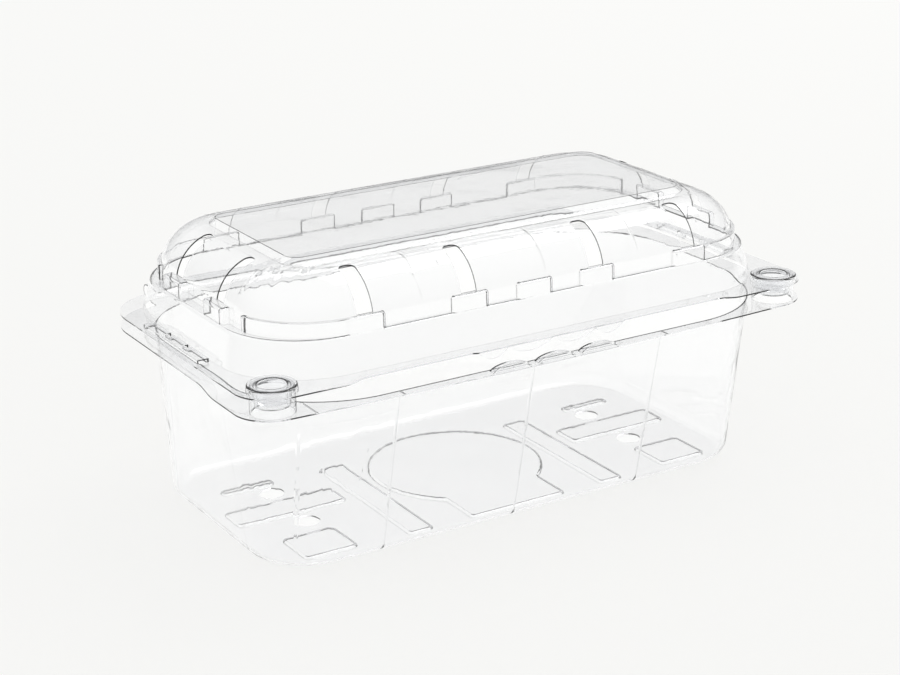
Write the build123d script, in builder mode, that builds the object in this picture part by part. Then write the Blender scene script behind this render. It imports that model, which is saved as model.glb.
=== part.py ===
from build123d import *
import os

# Hinged clear punnet: a deep drafted tray, a vented domed lid and the film hinge that joins
# them, all formed from one thin sheet. X runs along the length, the grip faces -Y, the hinge
# is at +Y and Z is up. The tray stands on Z = 0, and the middle of the overall box is at
# X = 0, Y = 0. Sizes are in millimetres.

# Sheet
wall = 0.4
film = 0.3

# Flanges: where the tray and the lid meet
flange_half_length = 93.5
flange_corner = 11.0
back_corner = 18.0
back_corner_y = 27.5
hinge_edge_y = 51.5
tray_rim_z = 54.0
tray_front_z = 52.3
drop_start_y = -20.0
drop_end_y = -32.0
tray_front_margin = 0.5
tray_front_bow = 2.0
lid_rim_z = 58.2
lid_front_y = -52.8
lid_ear_margin = 0.6
ear_inner_x = 66.0
ear_step = 8.0

# Tray walls and floor
floor_half_length = 82.0
floor_half_width = 41.4
floor_corner = 18.0
floor_fillet = 4.0
mouth_half_length = 87.5
mouth_front_y = -54.0
mouth_back_y = 47.5
mouth_corner = 34.0
raise_height = 0.7
raise_corner = 1.8
raise_edge = 0.5
drain_radius = 3.85
drain_x = 57.3
drain_y = 11.6
panel_radius = 27.0
panel_wing_half_width = 16.5
panel_reach_y = 36.4
strip_inner_x = 29.0
strip_outer_x = 37.5
strip_back_reach = 19.0
bar_inner_x = 40.5
bar_outer_x = 76.0
bar_half_width = 5.6
pad_inner_x = 53.0
pad_outer_x = 70.0
pad_inner_y = 19.5
pad_outer_y = 35.0
ridge_inner_y = 17.0
ridge_outer_y = 21.0

# Lid skirt, ledges and dome
skirt_half_length = 88.0
skirt_half_width = 48.5
skirt_corner = 26.0
ledge_rise = 9.8
ledge_half_length = 85.4
ledge_half_width = 45.9
ledge_corner = 24.5
dome_half_length = 82.3
dome_half_width = 44.5
dome_corner = 23.0
dome_fillet = 14.0
dome_rise = 25.3
dome_foot_rise = 2.8
ledge_edge = 0.9
lug_rise = 4.5
lug_corner = 1.2
lug_edge = 0.9
lug_half_width = 6.0
lug_proud = 1.1
end_lug_proud = 2.4
band_proud = 0.7
band_inner_x = 58.0
band_inner_y = 27.0
plateau_half_length = 67.8
plateau_half_width = 27.2
plateau_corner = 6.0
plateau_height = 1.6
plateau_sink = 0.5

# Vent slots
vent_width = 5.0
vent_xs = (-54.0, -21.3, 21.3, 54.0)
vent_top_y = 33.2
end_vent_width = 4.4
end_vent_ys = (-13.2, 13.2)
end_vent_top_x = 71.2
vent_end_radius = 1.9

# Snap studs at the two front corners
stud_bearing = 48.5
stud_skirt_gap = 0.25
stud_seat_rise = 1.2
stud_radius = 6.3
stud_draft = 0.2
stud_cup_radius = 4.8
stud_cup_draft = 0.3
stud_cup_floor_rise = 2.3
stud_clearance = 0.3
stud_cup_clearance = 0.4
stud_floor_gap = 0.6
stud_seat_gap = 0.2
stud_edge = 0.5

# Stiffening rails on the two short sides of the lid, notched along their inner edge
rail_edge_inset = 1.3
rail_width = 3.4
rail_front_y = -19.0
rail_back_y = 17.0
rail_height = 1.1
rail_notch_ys = (-7.0, 4.5)
rail_notch_length = 2.4
rail_notch_depth = 1.2

# Finger grip in the middle of the front
grip_half_length = 24.0
grip_pitch = 14.7
grip_depth = 2.2
grip_reach = 0.8
grip_bump_half_width = 6.4
grip_bump_height = 1.7
grip_bump_depth = 2.2

# Heights and places that follow from the sizes above
ledge_z = lid_rim_z + ledge_rise
dome_foot_z = lid_rim_z + dome_foot_rise
dome_top_z = lid_rim_z + dome_rise
lug_top_z = ledge_z + lug_rise
stud_seat_z = lid_rim_z + stud_seat_rise
stud_cup_floor_z = tray_front_z + stud_cup_floor_rise
stud_reach = stud_radius + stud_clearance + wall
stud_offset = Vector(skirt_corner + stud_skirt_gap + stud_reach, 0).rotate(Axis.Z, -stud_bearing)
stud_x = skirt_half_length - skirt_corner + stud_offset.X
stud_y = skirt_corner - skirt_half_width + stud_offset.Y
lid_ear_y = stud_y - stud_reach - lid_ear_margin
tray_front_y = stud_y - stud_reach - tray_front_margin

# Film hinge: a fold that runs back from the two flange edges and turns round between them
fold_run = 2.2

hinge_half_length = flange_half_length - back_corner
fold_radius = (lid_rim_z - tray_rim_z + film) / 2
hinge_axis_y = hinge_edge_y + fold_run
hinge_axis_z = (lid_rim_z + tray_rim_z - wall) / 2
front_reach = -tray_front_y + tray_front_bow
back_reach = hinge_axis_y + fold_radius
body_y = (front_reach - back_reach) / 2
vent_foot_z = lug_top_z
over = 1.0

base = Plane(origin=(0, body_y, 0))
side = Plane(origin=(0, body_y, 0), x_dir=(0, 1, 0), z_dir=(1, 0, 0))
front = Plane(origin=(0, body_y, 0), x_dir=(1, 0, 0), z_dir=(0, -1, 0))


def drop_curve(shift):
    """The rim's height along the tray, from its low front to its higher sides and back."""
    middle_y = (drop_start_y + drop_end_y) / 2
    low = tray_front_z + shift
    high = tray_rim_z + shift
    return [(drop_end_y, low), (middle_y, low), (middle_y, high), (drop_start_y, high)]


def tray_form(inset):
    """The tray's filled form, with its walls, floor and floor fillet moved in by inset."""
    mouth_width = mouth_back_y - mouth_front_y - 2 * inset
    mouth_mid_y = (mouth_back_y + mouth_front_y) / 2
    length = 2 * (floor_half_length - inset)
    width = 2 * (floor_half_width - inset)
    with BuildPart() as form:
        with BuildSketch(base.offset(inset)):
            RectangleRounded(length, width, floor_corner - inset)
        with BuildSketch(base.offset(tray_rim_z + over)):
            with Locations((0, mouth_mid_y)):
                RectangleRounded(2 * (mouth_half_length - inset), mouth_width, mouth_corner - inset)
        loft(ruled=True)
        fillet(form.edges().group_by(Axis.Z)[0], floor_fillet - inset)
    return form.part


def floor_raises(inset, foot_z, top_z):
    """The floor's raised panel, strips, bars, front pads and back ridges, from foot_z to top_z."""
    strip_mid_x = (strip_inner_x + strip_outer_x) / 2
    strip_mid_y = (strip_back_reach - panel_reach_y) / 2
    strip_length = strip_back_reach + panel_reach_y
    bar_mid_x = (bar_inner_x + bar_outer_x) / 2
    pad_mid_x = (pad_inner_x + pad_outer_x) / 2
    pad_mid_y = -(pad_inner_y + pad_outer_y) / 2
    ridge_mid_y = (ridge_inner_y + ridge_outer_y) / 2
    with BuildPart() as raises:
        with BuildSketch(base.offset(foot_z)) as outline:
            Circle(panel_radius - inset)
            with Locations((0, inset - panel_reach_y)):
                wing_width = 2 * (panel_wing_half_width - inset)
                Rectangle(wing_width, panel_reach_y - inset, align=(Align.CENTER, Align.MIN))
            with Locations((-strip_mid_x, strip_mid_y), (strip_mid_x, strip_mid_y)):
                Rectangle(strip_outer_x - strip_inner_x - 2 * inset, strip_length - 2 * inset)
            with Locations((-bar_mid_x, 0), (bar_mid_x, 0)):
                Rectangle(bar_outer_x - bar_inner_x - 2 * inset, 2 * (bar_half_width - inset))
            with Locations((-pad_mid_x, pad_mid_y), (pad_mid_x, pad_mid_y)):
                Rectangle(pad_outer_x - pad_inner_x - 2 * inset, pad_outer_y - pad_inner_y - 2 * inset)
            with Locations((-pad_mid_x, ridge_mid_y), (pad_mid_x, ridge_mid_y)):
                Rectangle(pad_outer_x - pad_inner_x - 2 * inset, ridge_outer_y - ridge_inner_y - 2 * inset)
            fillet(outline.vertices(), raise_corner - inset)
        extrude(amount=top_z - foot_z)
        fillet(raises.edges().group_by(Axis.Z)[-1], raise_edge + wall - inset)
    return raises.part


def stud_profile(outer, cup, top_z, floor_z, foot_z):
    """Half the section of a stud: a ring with a cup in it, seen from its axis outwards."""
    with BuildSketch(Plane.XZ) as profile:
        with BuildLine():
            Polyline(
                (outer, foot_z - wall),
                (outer, foot_z),
                (outer - stud_draft, top_z),
                (cup, top_z),
                (cup - stud_cup_draft, floor_z),
                (0, floor_z),
                (0, floor_z - wall),
                (cup - stud_cup_draft + wall, floor_z - wall),
                (cup + wall, top_z - wall),
                (outer - stud_draft - wall, top_z - wall),
                (outer - wall, foot_z - wall),
                close=True,
            )
        make_face()
        fillet(profile.vertices().group_by(Axis.Y)[-1], stud_edge)
    return profile.sketch


def side_rails(inset, foot_z, top_z):
    """The stiffening rails of both short sides as blocks, their walls moved in by inset."""
    outer_x = flange_half_length - rail_edge_inset
    rail_mid_y = (rail_front_y + rail_back_y) / 2
    rail_length = rail_back_y - rail_front_y
    with BuildPart() as rails:
        with BuildSketch(base.offset(foot_z)):
            with Locations((-outer_x + rail_width / 2, rail_mid_y), (outer_x - rail_width / 2, rail_mid_y)):
                Rectangle(rail_width - 2 * inset, rail_length - 2 * inset)
            for y in rail_notch_ys:
                with Locations((-outer_x + rail_width, y), (outer_x - rail_width, y)):
                    notch_width = 2 * (rail_notch_depth + inset)
                    Rectangle(notch_width, rail_notch_length + 2 * inset, mode=Mode.SUBTRACT)
        extrude(amount=top_z - foot_z)
    return rails.part


def flange_back(line_start):
    """The right half of a flange's outline, from its side to the middle of the hinge edge."""
    corner_x = flange_half_length - back_corner
    return [
        Line(line_start, (flange_half_length, back_corner_y)),
        CenterArc((corner_x, back_corner_y), back_corner, 0, 90),
        Line((corner_x, back_corner_y + back_corner), (corner_x, hinge_edge_y)),
        Line((corner_x, hinge_edge_y), (0, hinge_edge_y)),
    ]


# Tray flange: a thin slab that follows the rim's drop, trimmed to its outline
flange_corner_x = flange_half_length - flange_corner

with BuildSketch(base) as tray_outline:
    with BuildLine() as tray_edge:
        flange_back((flange_half_length, tray_front_y + flange_corner))
        CenterArc((flange_corner_x, tray_front_y + flange_corner), flange_corner, -90, 90)
        mirror(tray_edge.line, about=Plane.YZ)
        ThreePointArc(
            (-flange_corner_x, tray_front_y),
            (0, tray_front_y - tray_front_bow),
            (flange_corner_x, tray_front_y),
        )
    make_face()

with BuildPart() as tray_flange:
    with BuildSketch(side):
        with BuildLine():
            Polyline(
                (drop_end_y, tray_front_z),
                (-front_reach - over, tray_front_z),
                (-front_reach - over, tray_front_z - wall),
                (drop_end_y, tray_front_z - wall),
            )
            Bezier(*drop_curve(-wall))
            Polyline(
                (drop_start_y, tray_rim_z - wall),
                (hinge_edge_y + over, tray_rim_z - wall),
                (hinge_edge_y + over, tray_rim_z),
                (drop_start_y, tray_rim_z),
            )
            Bezier(*drop_curve(0))
        make_face()
    extrude(amount=flange_half_length + over, both=True)
    extrude(tray_outline.sketch, amount=tray_rim_z + over, mode=Mode.INTERSECT)
    with BuildSketch(base.offset(tray_front_z - wall - over)):
        with Locations((-stud_x, stud_y), (stud_x, stud_y)):
            Circle(stud_radius - wall / 2)
    extrude(amount=over + wall + over, mode=Mode.SUBTRACT)

# The tray: walls, floor, flange, studs and the grip's bumps
with BuildPart() as tray:
    add(tray_form(0))
    with BuildSketch(side):
        with BuildLine():
            Polyline(
                (drop_end_y, tray_front_z),
                (-front_reach - over, tray_front_z),
                (-front_reach - over, tray_rim_z + 2 * over),
                (hinge_edge_y + over, tray_rim_z + 2 * over),
                (hinge_edge_y + over, tray_rim_z),
                (drop_start_y, tray_rim_z),
            )
            Bezier(*drop_curve(0))
        make_face()
    extrude(amount=flange_half_length, both=True, mode=Mode.SUBTRACT)
    add(floor_raises(wall, -over, raise_height), mode=Mode.SUBTRACT)
    add(tray_flange.part)
    with BuildSketch(front.offset(-tray_front_y + tray_front_bow - grip_reach)):
        for i in (-1, 0, 1):
            with Locations((i * grip_pitch, tray_front_z - wall)):
                Ellipse(grip_bump_half_width, grip_bump_height + wall)
        with Locations((0, tray_front_z - wall)):
            Rectangle(2 * flange_half_length, 2 * over + 2, align=(Align.CENTER, Align.MAX), mode=Mode.SUBTRACT)
    extrude(amount=-grip_bump_depth)
    add(tray_form(wall) - floor_raises(0, 0, raise_height + wall), mode=Mode.SUBTRACT)
    with BuildSketch(front.offset(-tray_front_y + tray_front_bow - grip_reach - wall)):
        for i in (-1, 0, 1):
            with Locations((i * grip_pitch, tray_front_z - wall)):
                Ellipse(grip_bump_half_width - wall, grip_bump_height)
    extrude(amount=-grip_bump_depth + 2 * wall, mode=Mode.SUBTRACT)
    for x in (-stud_x, stud_x):
        stud_plane = Plane(origin=(x, body_y + stud_y, 0), x_dir=(1, 0, 0), z_dir=(0, -1, 0))
        with BuildSketch(stud_plane):
            add(stud_profile(stud_radius, stud_cup_radius, stud_seat_z, stud_cup_floor_z, tray_front_z))
        revolve(axis=Axis((x, body_y + stud_y, 0), (0, 0, 1)))
    with BuildSketch(base):
        with GridLocations(2 * drain_x, 2 * drain_y, 2, 2):
            Circle(drain_radius)
    extrude(amount=raise_height, mode=Mode.SUBTRACT)

tray.part.label = "tray"


def lid_lugs(inset):
    """The lugs as bars across the lid, with rounded ends and tops, moved in by inset."""
    lug_width = 2 * (lug_half_width - inset)
    with BuildPart() as lugs:
        with BuildSketch(base.offset(dome_foot_z)):
            with Locations(*[(x, 0) for x in (0, *vent_xs)]):
                RectangleRounded(lug_width, 2 * (dome_half_width + lug_proud - inset), lug_corner - inset)
        extrude(amount=lug_top_z - inset - dome_foot_z)
        fillet(lugs.edges().group_by(Axis.Z)[-1], lug_edge - inset)
    with BuildPart() as end_lugs:
        with BuildSketch(base.offset(dome_foot_z)):
            with Locations(*[(0, y) for y in end_vent_ys]):
                length = 2 * (dome_half_length + end_lug_proud - inset)
                RectangleRounded(length, lug_width, lug_corner - inset)
        extrude(amount=lug_top_z - inset - dome_foot_z)
        fillet(end_lugs.edges().group_by(Axis.Z)[-1], lug_edge - inset)
    return [lugs.part, end_lugs.part]


def lid_form(inset):
    """The lid's filled form above its flange, with every wall and top moved in by inset."""
    foot_z = lid_rim_z - wall
    band_length = 2 * (dome_half_length + band_proud - inset)
    band_width = 2 * (dome_half_width + band_proud - inset)
    with BuildPart() as form:
        with BuildSketch(base.offset(foot_z)) as foot:
            RectangleRounded(
                2 * (skirt_half_length - inset), 2 * (skirt_half_width - inset), skirt_corner - inset
            )
        with BuildSketch(base.offset(ledge_z - inset)):
            RectangleRounded(
                2 * (ledge_half_length - inset), 2 * (ledge_half_width - inset), ledge_corner - inset
            )
        loft(ruled=True)
        fillet(form.edges().group_by(Axis.Z)[-1], ledge_edge - inset)
        with BuildSketch(base.offset(dome_foot_z)):
            RectangleRounded(
                2 * (dome_half_length - inset), 2 * (dome_half_width - inset), dome_corner - inset
            )
        extrude(amount=dome_top_z - inset - dome_foot_z)
        fillet(form.edges().group_by(Axis.Z)[-1], dome_fillet - inset)
        with BuildSketch(base.offset(dome_foot_z)):
            RectangleRounded(band_length, band_width, dome_corner + band_proud - inset)
            Rectangle(2 * (band_inner_x + inset), 2 * skirt_half_width, mode=Mode.SUBTRACT)
            Rectangle(2 * skirt_half_length, 2 * (band_inner_y + inset), mode=Mode.SUBTRACT)
        extrude(amount=lug_top_z - inset - dome_foot_z)
        add(lid_lugs(inset))
        with BuildSketch(base.offset(dome_top_z - inset - plateau_sink)):
            RectangleRounded(
                2 * (plateau_half_length + plateau_sink - inset),
                2 * (plateau_half_width + plateau_sink - inset),
                plateau_corner + plateau_sink - inset,
            )
        with BuildSketch(base.offset(dome_top_z - inset + plateau_height)):
            RectangleRounded(
                2 * (plateau_half_length - plateau_height - inset),
                2 * (plateau_half_width - plateau_height - inset),
                plateau_corner - plateau_height - inset,
            )
        loft(ruled=True)
        if inset > 0:
            extrude(foot.sketch, amount=-over)
    return form.part


# The lid's flange, with its ears over the studs and the grip's tab between them
ear_end_x = ear_inner_x - ear_step
ear_mid_x = ear_inner_x - ear_step / 2
grip_y = lid_front_y - grip_reach
grip_foot_x = grip_half_length + 2 * grip_reach

with BuildSketch(base.offset(lid_rim_z - wall)) as lid_outline:
    with BuildLine() as lid_edge:
        flange_back((flange_half_length, lid_ear_y + flange_corner))
        CenterArc((flange_corner_x, lid_ear_y + flange_corner), flange_corner, -90, 90)
        Line((flange_corner_x, lid_ear_y), (ear_inner_x, lid_ear_y))
        Bezier(
            (ear_inner_x, lid_ear_y),
            (ear_mid_x, lid_ear_y),
            (ear_mid_x, lid_front_y),
            (ear_end_x, lid_front_y),
        )
        Polyline((ear_end_x, lid_front_y), (grip_foot_x, lid_front_y), (grip_half_length, grip_y), (0, grip_y))
        mirror(lid_edge.line, about=Plane.YZ)
    make_face()

# The lid: flange, skirt, ledge, lugs, vented dome, plateau, studs, side rails and wavy lip
lid_cup_radius = stud_cup_radius - stud_cup_clearance - wall

with BuildPart() as lid:
    extrude(lid_outline.sketch, amount=wall)
    with BuildSketch(base.offset(lid_rim_z - wall)):
        with Locations((-stud_x, stud_y), (stud_x, stud_y)):
            Circle(stud_radius + stud_clearance + wall / 2)
    extrude(amount=wall, mode=Mode.SUBTRACT)
    add(side_rails(0, lid_rim_z - wall, lid_rim_z + rail_height))
    add(lid_form(0))
    add(lid_form(wall), mode=Mode.SUBTRACT)
    add(side_rails(wall, lid_rim_z - wall, lid_rim_z + rail_height - wall), mode=Mode.SUBTRACT)
    for x in (-stud_x, stud_x):
        lid_stud_plane = Plane(origin=(x, body_y + stud_y, 0), x_dir=(1, 0, 0), z_dir=(0, -1, 0))
        with BuildSketch(lid_stud_plane):
            add(
                stud_profile(
                    stud_radius + stud_clearance + wall,
                    lid_cup_radius,
                    stud_seat_z + stud_seat_gap + wall,
                    stud_cup_floor_z + stud_floor_gap + wall,
                    lid_rim_z,
                )
            )
        revolve(axis=Axis((x, body_y + stud_y, 0), (0, 0, 1)))
    with BuildSketch(base.offset(vent_foot_z)):
        for x in vent_xs:
            for y in (-1, 1):
                with Locations((x, y * (vent_top_y + skirt_half_width) / 2)):
                    RectangleRounded(vent_width, skirt_half_width - vent_top_y, vent_end_radius)
        for y in end_vent_ys:
            for x in (-1, 1):
                with Locations((x * (end_vent_top_x + skirt_half_length) / 2, y)):
                    RectangleRounded(skirt_half_length - end_vent_top_x, end_vent_width, vent_end_radius)
    extrude(amount=dome_top_z - vent_foot_z + over, mode=Mode.SUBTRACT)
    with BuildSketch(front.offset(-grip_y)):
        with BuildLine():
            Line((-grip_half_length, lid_rim_z - wall), (-grip_half_length, lid_rim_z))
            Line((-grip_half_length, lid_rim_z), (grip_half_length, lid_rim_z))
            Line((grip_half_length, lid_rim_z), (grip_half_length, lid_rim_z - wall))
            for start, end in (
                (grip_half_length, grip_pitch),
                (grip_pitch, 0),
                (0, -grip_pitch),
                (-grip_pitch, -grip_half_length),
            ):
                ThreePointArc(
                    (start, lid_rim_z - wall),
                    ((start + end) / 2, lid_rim_z - wall - grip_depth),
                    (end, lid_rim_z - wall),
                )
        make_face()
    extrude(amount=-wall)

lid.part.label = "lid"

# The film hinge: a fold of thinned sheet from the lid's back edge round to the tray's
with BuildPart() as living_hinge:
    with BuildSketch(side):
        with Locations((hinge_axis_y, hinge_axis_z)):
            Circle(fold_radius)
            Rectangle(fold_radius, 2 * fold_radius, align=(Align.MAX, Align.CENTER), mode=Mode.SUBTRACT)
            Rectangle(fold_run, 2 * fold_radius, align=(Align.MAX, Align.CENTER))
            Circle(fold_radius - film, mode=Mode.SUBTRACT)
            Rectangle(
                fold_run, 2 * (fold_radius - film), align=(Align.MAX, Align.CENTER), mode=Mode.SUBTRACT
            )
    extrude(amount=hinge_half_length, both=True)

living_hinge.part.label = "living_hinge"

os.makedirs("parts", exist_ok=True)
export_step(tray.part, "parts/tray.step")
export_step(lid.part, "parts/lid.step")
export_step(living_hinge.part, "parts/living_hinge.step")

print("hinge axis y, z:", round(body_y + hinge_axis_y, 3), round(hinge_axis_z, 3))
print("body centre y:", round(body_y, 3))
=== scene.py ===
import bmesh
import bpy
import math
from mathutils import Matrix, Vector


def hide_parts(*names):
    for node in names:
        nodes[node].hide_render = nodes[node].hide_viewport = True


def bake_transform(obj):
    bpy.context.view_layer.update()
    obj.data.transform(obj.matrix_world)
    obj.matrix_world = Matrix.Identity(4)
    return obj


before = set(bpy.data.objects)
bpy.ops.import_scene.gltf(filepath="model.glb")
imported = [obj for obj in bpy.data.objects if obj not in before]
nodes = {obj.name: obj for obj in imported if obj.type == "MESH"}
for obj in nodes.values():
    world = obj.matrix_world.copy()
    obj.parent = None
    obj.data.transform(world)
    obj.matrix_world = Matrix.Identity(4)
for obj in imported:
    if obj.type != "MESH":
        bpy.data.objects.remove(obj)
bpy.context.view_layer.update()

MM = 0.001


# ---------------------------------------------------------------- node helpers
def new_material(name):
    material = bpy.data.materials.new(name)
    material.use_nodes = True
    material.node_tree.nodes.clear()
    return material, material.node_tree


def math_node(tree, operation, a, b=None, c=None):
    """A Math node whose inputs are sockets or plain numbers. Returns its output."""
    node = tree.nodes.new("ShaderNodeMath")
    node.operation = operation
    for i, value in enumerate((a, b, c)):
        if value is None:
            continue
        if isinstance(value, (int, float)):
            node.inputs[i].default_value = value
        else:
            tree.links.new(value, node.inputs[i])
    return node.outputs[0]


def map_range(tree, value, lo, hi, out_lo=0.0, out_hi=1.0):
    """Value from lo..hi to out_lo..out_hi, smoothly and clamped."""
    node = tree.nodes.new("ShaderNodeMapRange")
    node.interpolation_type = "SMOOTHSTEP"
    tree.links.new(value, node.inputs["Value"])
    for name, number in zip(("From Min", "From Max", "To Min", "To Max"), (lo, hi, out_lo, out_hi)):
        node.inputs[name].default_value = number
    return node.outputs["Result"]


def noise(tree, vector, scale, detail):
    node = tree.nodes.new("ShaderNodeTexNoise")
    node.inputs["Scale"].default_value = scale
    node.inputs["Detail"].default_value = detail
    tree.links.new(vector, node.inputs["Vector"])
    return node.outputs["Fac"]


def total(tree, parts):
    out = parts[0]
    for part in parts[1:]:
        out = math_node(tree, "ADD", out, part)
    return out


# ---------------------------------------------------------------- clear sheet
LONGEST_PATH = 13.5     # past this depth a ray goes straight on, so that light trapped in the sheet isn't black
WAVE_SCALE, WAVE_DETAIL, WAVE_HEIGHT = 38.0, 1.5, 0.25 * MM
RIPPLE_SCALE, RIPPLE_DETAIL, RIPPLE_HEIGHT = 210.0, 2.0, 0.018 * MM
RIDGE_HEIGHT, RIDGE_TOP, RIDGE_FOOT = 0.06 * MM, 0.1 * MM, 0.55 * MM
STEP_HEIGHT, STEP_HALF_RUN = 0.16 * MM, 0.5 * MM


def clear_sheet(name, ridges=(), steps=()):
    """Thin clear plastic. ridges and steps are places along X, in metres: a ridge is a thin mould line
    down the front wall, and a step is where the dome's shoulder shifts a little. Each comes with its sign."""
    material, tree = new_material(name)
    link = tree.links.new
    out = tree.nodes.new("ShaderNodeOutputMaterial")
    where = tree.nodes.new("ShaderNodeTexCoord")
    xyz = tree.nodes.new("ShaderNodeSeparateXYZ")
    link(where.outputs["Object"], xyz.inputs[0])
    x, y, z = xyz.outputs["X"], xyz.outputs["Y"], xyz.outputs["Z"]

    # The sheet's own waviness from forming, and a finer ripple
    heights = [
        math_node(tree, "MULTIPLY", noise(tree, where.outputs["Object"], WAVE_SCALE, WAVE_DETAIL), WAVE_HEIGHT),
        math_node(
            tree, "MULTIPLY", noise(tree, where.outputs["Object"], RIPPLE_SCALE, RIPPLE_DETAIL), RIPPLE_HEIGHT
        ),
    ]
    if ridges:
        front = map_range(tree, y, -40 * MM, -37 * MM, 1.0, 0.0)
    for place, sign in ridges:
        away = math_node(tree, "ABSOLUTE", math_node(tree, "SUBTRACT", x, place))
        line = map_range(tree, away, RIDGE_TOP, RIDGE_FOOT, RIDGE_HEIGHT * sign, 0.0)
        heights.append(math_node(tree, "MULTIPLY", line, front))
    if steps:
        high = map_range(tree, z, 72.5 * MM, 74.5 * MM)
        outer = map_range(tree, math_node(tree, "ABSOLUTE", y), 30 * MM, 33 * MM)
        shoulder = math_node(tree, "MULTIPLY", high, outer)
    for place, sign in steps:
        step = map_range(tree, x, place - STEP_HALF_RUN, place + STEP_HALF_RUN, 0.0, STEP_HEIGHT * sign)
        heights.append(math_node(tree, "MULTIPLY", step, shoulder))
    bump = tree.nodes.new("ShaderNodeBump")
    bump.inputs["Strength"].default_value = 1.0
    bump.inputs["Distance"].default_value = 1.0
    link(total(tree, heights), bump.inputs["Height"])

    glass = tree.nodes.new("ShaderNodeBsdfGlass")
    glass.inputs["Color"].default_value = (0.989, 0.990, 0.992, 1.0)
    glass.inputs["Roughness"].default_value = 0.02
    glass.inputs["IOR"].default_value = 1.57
    link(bump.outputs["Normal"], glass.inputs["Normal"])
    clear = tree.nodes.new("ShaderNodeBsdfTransparent")
    clear.inputs["Color"].default_value = (0.985, 0.985, 0.986, 1.0)
    path = tree.nodes.new("ShaderNodeLightPath")
    passing = math_node(tree, "MAXIMUM", path.outputs["Is Shadow Ray"], path.outputs["Is Diffuse Ray"])
    trapped = math_node(tree, "GREATER_THAN", path.outputs["Ray Depth"], LONGEST_PATH)
    passing = math_node(tree, "MAXIMUM", passing, trapped)
    mix = tree.nodes.new("ShaderNodeMixShader")
    link(passing, mix.inputs["Fac"])
    link(glass.outputs[0], mix.inputs[1])
    link(clear.outputs[0], mix.inputs[2])
    link(mix.outputs[0], out.inputs["Surface"])
    return material


def dress(obj, material):
    obj.data.materials.clear()
    obj.data.materials.append(material)


WALL_RIDGES = [(-0.075, 1), (-0.049, 1), (-0.0055, 1), (0.038, 1)]
DOME_STEPS = [(-0.036, -1), (-0.028, 1), (0.0045, -1), (0.036, 1)]
dress(nodes["tray"], clear_sheet("tray_sheet", ridges=WALL_RIDGES))
dress(nodes["lid"], clear_sheet("lid_sheet", steps=DOME_STEPS))


# ---------------------------------------------------------------- the hinge film, which bends from the tray to the lid
def hinge_film():
    """A U of film behind the flanges: a run out from the tray, a half turn, and a run back to the lid.
    Sizes are in millimetres, and middle holds the film's middle line with its normals."""
    half_length, thickness, steps = 75.5, 0.3, 24
    axis_y, axis_z, radius, start_y = 54.176, 55.9, 2.08, 51.99
    middle = [(start_y, axis_z - radius, 0, 1)]
    for i in range(steps + 1):
        angle = math.pi * (i / steps - 0.5)
        across, up = math.cos(angle), math.sin(angle)
        middle.append((axis_y + radius * across, axis_z + radius * up, -across, -up))
    middle.append((start_y, axis_z + radius, 0, -1))
    section = [(y + ny * thickness / 2, z + nz * thickness / 2) for y, z, ny, nz in middle]
    section += [(y - ny * thickness / 2, z - nz * thickness / 2) for y, z, ny, nz in reversed(middle)]
    count = len(section)
    points = [(side * half_length * MM, y * MM, z * MM) for side in (-1, 1) for y, z in section]
    faces = [(i, (i + 1) % count, count + (i + 1) % count, count + i) for i in range(count)]
    for i in range(len(middle) - 1):
        far = count - 1 - i
        faces.append((i, far, far - 1, i + 1))
        faces.append((count + i, count + i + 1, count + far - 1, count + far))
    mesh = bpy.data.meshes.new("hinge_film")
    mesh.from_pydata(points, [], faces)
    shape = bmesh.new()
    shape.from_mesh(mesh)
    bmesh.ops.recalc_face_normals(shape, faces=shape.faces)
    shape.to_mesh(mesh)
    shape.free()
    mesh.shade_smooth()
    mesh.set_sharp_from_angle(angle=math.radians(40))
    obj = bpy.data.objects.new("hinge_film", mesh)
    bpy.context.scene.collection.objects.link(obj)
    return obj


film = hinge_film()
dress(film, clear_sheet("hinge_film"))
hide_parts("living_hinge")
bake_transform(film)

# ---------------------------------------------------------------- floor
FLOOR_HALF = 6.0
FLOOR_DROP = 0.4 * MM     # clear of the tray's underside
FLOOR_GLOW = 0.09          # only for rays that come by way of the plastic
floor_mesh = bpy.data.meshes.new("floor")
corners = [(x * FLOOR_HALF, y * FLOOR_HALF, 0) for x, y in ((-1, -1), (1, -1), (1, 1), (-1, 1))]
floor_mesh.from_pydata(corners, [], [(0, 1, 2, 3)])
floor = bpy.data.objects.new("floor", floor_mesh)
floor.location.z = -FLOOR_DROP
bpy.context.scene.collection.objects.link(floor)
paper, tree = new_material("floor_paper")
out = tree.nodes.new("ShaderNodeOutputMaterial")
diffuse = tree.nodes.new("ShaderNodeBsdfDiffuse")
diffuse.inputs["Color"].default_value = (0.885, 0.885, 0.868, 1.0)
glow = tree.nodes.new("ShaderNodeEmission")
glow.inputs["Color"].default_value = (1.0, 1.0, 1.0, 1.0)
path = tree.nodes.new("ShaderNodeLightPath")
through = math_node(tree, "MAXIMUM", path.outputs["Is Glossy Ray"], path.outputs["Is Transmission Ray"])
tree.links.new(math_node(tree, "MULTIPLY", through, FLOOR_GLOW), glow.inputs["Strength"])
both = tree.nodes.new("ShaderNodeAddShader")
tree.links.new(diffuse.outputs[0], both.inputs[0])
tree.links.new(glow.outputs[0], both.inputs[1])
tree.links.new(both.outputs[0], out.inputs["Surface"])
dress(floor, paper)

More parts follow.
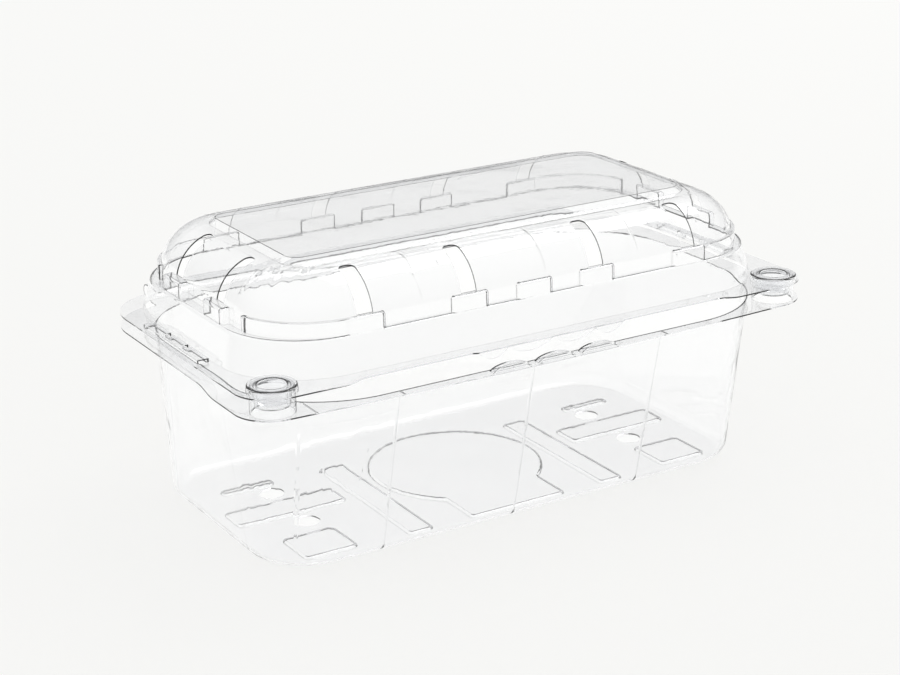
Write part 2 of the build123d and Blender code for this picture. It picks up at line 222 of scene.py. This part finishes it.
# ---------------------------------------------------------------- world: a pale room, darker near the horizon
world = bpy.data.worlds.new("studio")
bpy.context.scene.world = world
world.use_nodes = True
tree = world.node_tree
tree.nodes.clear()
out = tree.nodes.new("ShaderNodeOutputWorld")
sky = tree.nodes.new("ShaderNodeBackground")
sky.inputs["Color"].default_value = (1.0, 1.0, 1.005, 1.0)
where = tree.nodes.new("ShaderNodeTexCoord")
xyz = tree.nodes.new("ShaderNodeSeparateXYZ")
tree.links.new(where.outputs["Generated"], xyz.inputs[0])
high = map_range(tree, xyz.outputs["Z"], 0.1, 0.9)
behind = map_range(tree, xyz.outputs["Y"], -0.2, 0.8, 0.66, 0.6)
level = math_node(tree, "ADD", behind, math_node(tree, "MULTIPLY", high, math_node(tree, "SUBTRACT", 1.0, behind)))
tree.links.new(level, sky.inputs["Strength"])
tree.links.new(sky.outputs[0], out.inputs["Surface"])


# ---------------------------------------------------------------- lamps
def softbox(name, place, target, size, watts):
    lamp = bpy.data.lights.new(name, "AREA")
    lamp.shape = "RECTANGLE"
    lamp.size, lamp.size_y = size
    lamp.energy = watts
    obj = bpy.data.objects.new(name, lamp)
    obj.location = place
    obj.rotation_euler = (Vector(target) - Vector(place)).to_track_quat("-Z", "Y").to_euler()
    bpy.context.scene.collection.objects.link(obj)
    return obj


softbox("overhead", (2.4, 0.6, 4.0), (0, 0, 0.05), (2.4, 2.2), 45.0)

# ---------------------------------------------------------------- camera
AZIMUTH, ELEVATION, ROLL = math.radians(-31.11), math.radians(19.56), math.radians(-0.91)
TARGET = Vector((-6.21 * MM, -8.235 * MM, 45.83 * MM))
DISTANCE = 0.61396
SENSOR_WIDTH, LENS = 36.0, 82.91     # millimetres
LONGEST_BOUNCES = 32
backward = Vector(
    (math.sin(AZIMUTH) * math.cos(ELEVATION), -math.cos(AZIMUTH) * math.cos(ELEVATION), math.sin(ELEVATION))
)
level_right = (-backward).cross(Vector((0, 0, 1))).normalized()
level_up = level_right.cross(-backward)
right = level_right * math.cos(ROLL) + level_up * math.sin(ROLL)
up = level_up * math.cos(ROLL) - level_right * math.sin(ROLL)
camera_data = bpy.data.cameras.new("camera")
camera_data.sensor_width = SENSOR_WIDTH
camera_data.lens = LENS
camera_data.clip_start, camera_data.clip_end = 0.01, 50.0
camera = bpy.data.objects.new("camera", camera_data)
bpy.context.scene.collection.objects.link(camera)
axes = Matrix((right, up, backward)).transposed().to_4x4()
camera.matrix_world = Matrix.Translation(TARGET + backward * DISTANCE) @ axes

scene = bpy.context.scene
scene.camera = camera
scene.view_settings.view_transform = "Standard"
scene.cycles.max_bounces = LONGEST_BOUNCES
scene.cycles.transmission_bounces = LONGEST_BOUNCES
scene.cycles.transparent_max_bounces = LONGEST_BOUNCES
scene.cycles.caustics_reflective = False
scene.cycles.caustics_refractive = False
